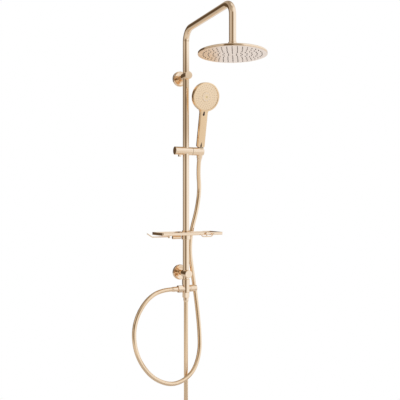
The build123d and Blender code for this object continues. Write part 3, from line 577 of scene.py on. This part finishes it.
# The wall's section as (inset, height), from under the floor round its rim and down to the floor
WALL_SECTION = [
    (TRAY_WALL, FLOOR_LOW), (TRAY_WALL, TRAY_BOTTOM + TRAY_EDGE), (TRAY_WALL - TRAY_EDGE, TRAY_BOTTOM),
    (TRAY_EDGE, TRAY_BOTTOM), (EDGE_MID, TRAY_BOTTOM + EDGE_MID), (0, TRAY_BOTTOM + TRAY_EDGE),
    (0, TRAY_TOP - TRAY_EDGE), (EDGE_MID, TRAY_TOP - EDGE_MID), (TRAY_EDGE, TRAY_TOP),
    (TRAY_WALL - TRAY_EDGE, TRAY_TOP), (TRAY_WALL - EDGE_MID, TRAY_TOP - EDGE_MID),
    (TRAY_WALL, TRAY_TOP - TRAY_EDGE), (TRAY_WALL, FLOOR_HIGH),
]
plan = tray_outline()
tray = bmesh.new()
walls = [loop_at(tray, plan, inset, height, RISER_PLACE) for inset, height in WALL_SECTION]
bridge(tray, walls)
boss = arc((0, 0), BOSS_R, 0, 360, BOSS_SIDES)[:-1]
for wall, height in ((walls[0], FLOOR_LOW), (walls[-1], FLOOR_HIGH)):
    cap(tray, wall, loop_at(tray, boss, 0, height, RISER_PLACE))
lathe(tray, softened([
    (BOSS_BORE_R, TRAY_BOTTOM), (BOSS_R, TRAY_BOTTOM), (BOSS_R, TRAY_TOP), (BOSS_BORE_R, TRAY_TOP),
], TRAY_EDGE), RISER_PLACE, BOSS_SIDES)
piece("tray", finished("tray", tray), "shelf", gold_moulded, "gold_abs", "shelf_tray")

# ---------------------------------------------------------------- floor, light and camera

FLOOR_DROP = 0.02
FLOOR_CENTRE, FLOOR_R, FLOOR_SIDES = (-0.1, -0.35), 0.45, 96
floor_mesh = bpy.data.meshes.new("floor")
floor_z = cad_box[0].z - FLOOR_DROP
floor_edge = arc(FLOOR_CENTRE, FLOOR_R, 0, 360, FLOOR_SIDES)[:-1]
floor_mesh.from_pydata([(x, y, floor_z) for x, y in floor_edge], [], [tuple(range(FLOOR_SIDES))])
floor = bpy.data.objects.new("floor", floor_mesh)
bpy.context.scene.collection.objects.link(floor)
floor_paint, floor_shader = shader("pale_floor")
floor_shader.inputs["Base Color"].default_value = (0.97, 0.965, 0.96, 1)
floor_shader.inputs["Roughness"].default_value = 0.7
floor_mesh.materials.append(floor_paint)

CAMERA_PLACE = Vector((-0.878, -1.9785, 0.241))
CAMERA_FORWARD = Vector((0.4368, 0.8996, 0))
camera_data = bpy.data.cameras.new("camera")
camera_data.lens = 54
camera_data.sensor_width = 36
camera_data.shift_y = 0.0125
camera = bpy.data.objects.new("camera", camera_data)
camera.location = CAMERA_PLACE
camera.rotation_mode = "QUATERNION"
camera.rotation_quaternion = CAMERA_FORWARD.to_track_quat("-Z", "Y")
bpy.context.scene.collection.objects.link(camera)
bpy.context.scene.camera = camera

# A white tent with a few dark gaps between its panels. Each list is pairs of a turn from the
# camera's side (0 is towards the camera, positive to its right) and the light at that turn: BELOW up
# to LOW_EDGE, AROUND up to HIGH_EDGE and ABOVE from there. HEIGHTS scales them by elevation, and
# TONES warms the dark.
LOW_EDGE, HIGH_EDGE, EDGE_BLEND = -11, 30, 3
AROUND = [
    (-180, 0.78), (-168, 0.7), (-162, 0.06), (-112, 0.06), (-104, 0.5), (-60, 0.62), (-34, 0.74),
    (-29, 0.13), (-3, 0.13), (3, 0.38), (24, 0.46), (38, 1.08), (105, 1.1), (150, 0.9), (180, 0.78),
]
BELOW = [(-180, 0.88), (-120, 0.5), (-60, 0.75), (0, 0.8), (48, 0.84), (120, 0.9), (180, 0.88)]
ABOVE = [
    (-180, 0.45), (-90, 0.36), (-40, 0.42), (0, 0.6), (48, 1.05), (105, 1.05), (150, 0.6), (180, 0.3),
]
HEIGHTS = [
    (-90, 0.85), (-30, 0.92), (-10, 0.96), (4, 1), (7, 0.66), (12, 0.66), (15, 1), (52, 1), (58, 0.75),
    (68, 0.7), (76, 1.2), (90, 1.2),
]
TONES = [
    (0, (0.05, 0.032, 0.018)), (0.13, (0.2, 0.15, 0.1)), (0.5, (0.52, 0.49, 0.46)),
    (0.75, (0.75, 0.73, 0.72)), (1, (0.96, 1.03, 1.16)),
]


def colour_ramp(tree, value, stops):
    """The colour at a value from 0 to 1, through stops of (value, colour)."""
    ramp = tree.nodes.new("ShaderNodeValToRGB")
    elements = ramp.color_ramp.elements
    while len(elements) > 1:
        elements.remove(elements[-1])
    for number, (place, colour) in enumerate(stops):
        element = elements[0] if number == 0 else elements.new(place)
        element.position = place
        element.color = (*colour, 1)
    tree.links.new(value, ramp.inputs["Fac"])
    return ramp.outputs["Color"]


def graph(tree, angle, reach, stops):
    """The light at an angle, in stops of (angle, light) that run from -reach to reach in degrees."""
    share = share_of(tree, angle, -math.radians(reach), math.radians(reach))
    return colour_ramp(tree, share, [((at + reach) / (2 * reach), (light,) * 3) for at, light in stops])


def maths(tree, operation, *values):
    """A math node's output."""
    node = tree.nodes.new("ShaderNodeMath")
    node.operation = operation
    for socket, value in zip(node.inputs, values):
        tree.links.new(value, socket)
    return node.outputs[0]


def studio():
    """The tent as a world: its light by direction, and plain white behind the object."""
    world = bpy.data.worlds.new("studio")
    bpy.context.scene.world = world
    world.use_nodes = True
    tree = world.node_tree
    tree.nodes.clear()
    place = tree.nodes.new("ShaderNodeTexCoord")
    turned = tree.nodes.new("ShaderNodeVectorRotate")
    turned.rotation_type = "Z_AXIS"
    back = -CAMERA_FORWARD
    turned.inputs["Angle"].default_value = -math.atan2(back.y, back.x)
    tree.links.new(place.outputs["Generated"], turned.inputs["Vector"])
    parts = tree.nodes.new("ShaderNodeSeparateXYZ")
    tree.links.new(turned.outputs[0], parts.inputs[0])
    turn = maths(tree, "ARCTAN2", parts.outputs["Y"], parts.outputs["X"])
    height = maths(tree, "ARCSINE", parts.outputs["Z"])
    light = graph(tree, turn, 180, BELOW)
    for level, band in ((LOW_EDGE, AROUND), (HIGH_EDGE, ABOVE)):
        low, high = math.radians(level - EDGE_BLEND), math.radians(level + EDGE_BLEND)
        edge = share_of(tree, height, low, high)
        panels = tree.nodes.new("ShaderNodeMix")
        panels.data_type = "FLOAT"
        tree.links.new(edge, panels.inputs[0])
        tree.links.new(light, panels.inputs[2])
        tree.links.new(graph(tree, turn, 180, band), panels.inputs[3])
        light = panels.outputs[0]
    light = maths(tree, "MULTIPLY", light, graph(tree, height, 90, HEIGHTS))
    tent = tree.nodes.new("ShaderNodeBackground")
    tree.links.new(colour_ramp(tree, light, TONES), tent.inputs["Color"])
    backdrop = tree.nodes.new("ShaderNodeBackground")
    backdrop.inputs["Color"].default_value = (1, 1, 1, 1)
    seen = tree.nodes.new("ShaderNodeLightPath")
    mixed = tree.nodes.new("ShaderNodeMixShader")
    tree.links.new(seen.outputs["Is Camera Ray"], mixed.inputs["Fac"])
    tree.links.new(tent.outputs[0], mixed.inputs[1])
    tree.links.new(backdrop.outputs[0], mixed.inputs[2])
    output = tree.nodes.new("ShaderNodeOutputWorld")
    tree.links.new(mixed.outputs[0], output.inputs["Surface"])


studio()
bpy.context.scene.view_settings.view_transform = "Standard"
